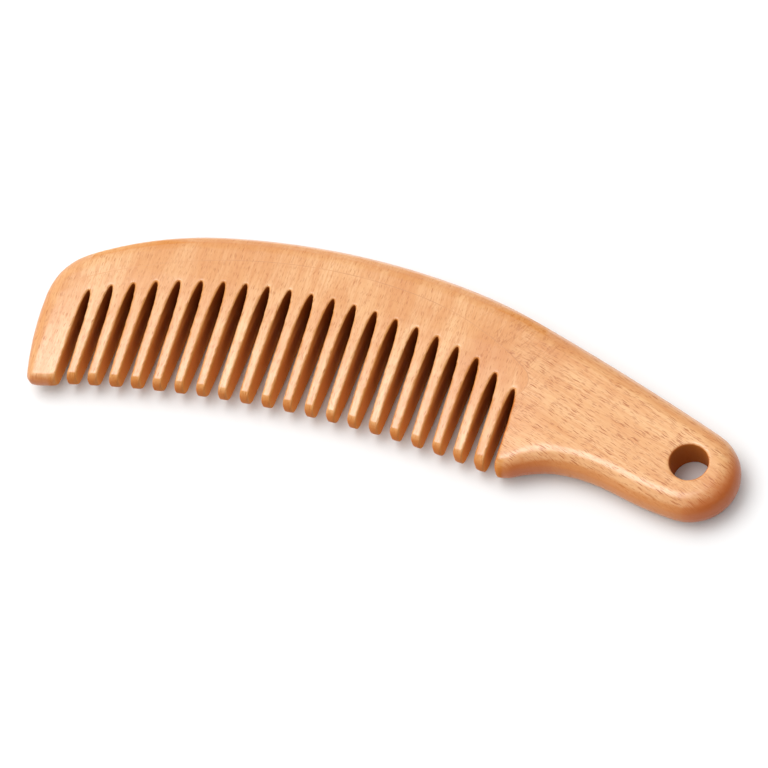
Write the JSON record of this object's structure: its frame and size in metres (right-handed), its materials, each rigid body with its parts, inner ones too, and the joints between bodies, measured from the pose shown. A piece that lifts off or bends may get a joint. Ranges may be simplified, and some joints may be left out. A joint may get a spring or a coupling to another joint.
{
  "type": "beard comb",
  "caption": "Flat wooden beard comb with an arched back, a row of fine round-ended teeth and a short handle with a hanging hole.",
  "frame": {"origin": "under the middle of the comb's box, on the plane of the flat face it lies on", "axes": "+X from the toothed head to the handle's end, +Y from the tooth tips to the arched back, +Z out of the upper face"},
  "size_m": [0.1764, 0.0503, 0.0094],
  "materials": {
    "blade_wood": "sanded and oiled, grain along the teeth",
    "back_wood": "sanded and oiled, grain along the comb",
    "glue": "cured wood glue, seen only as a thin line"
  },
  "bodies": {
    "root": {"toothed_blade": "blade_wood", "back_and_handle": "back_wood", "glue_line": "glue"}
  },
  "joints": []
}
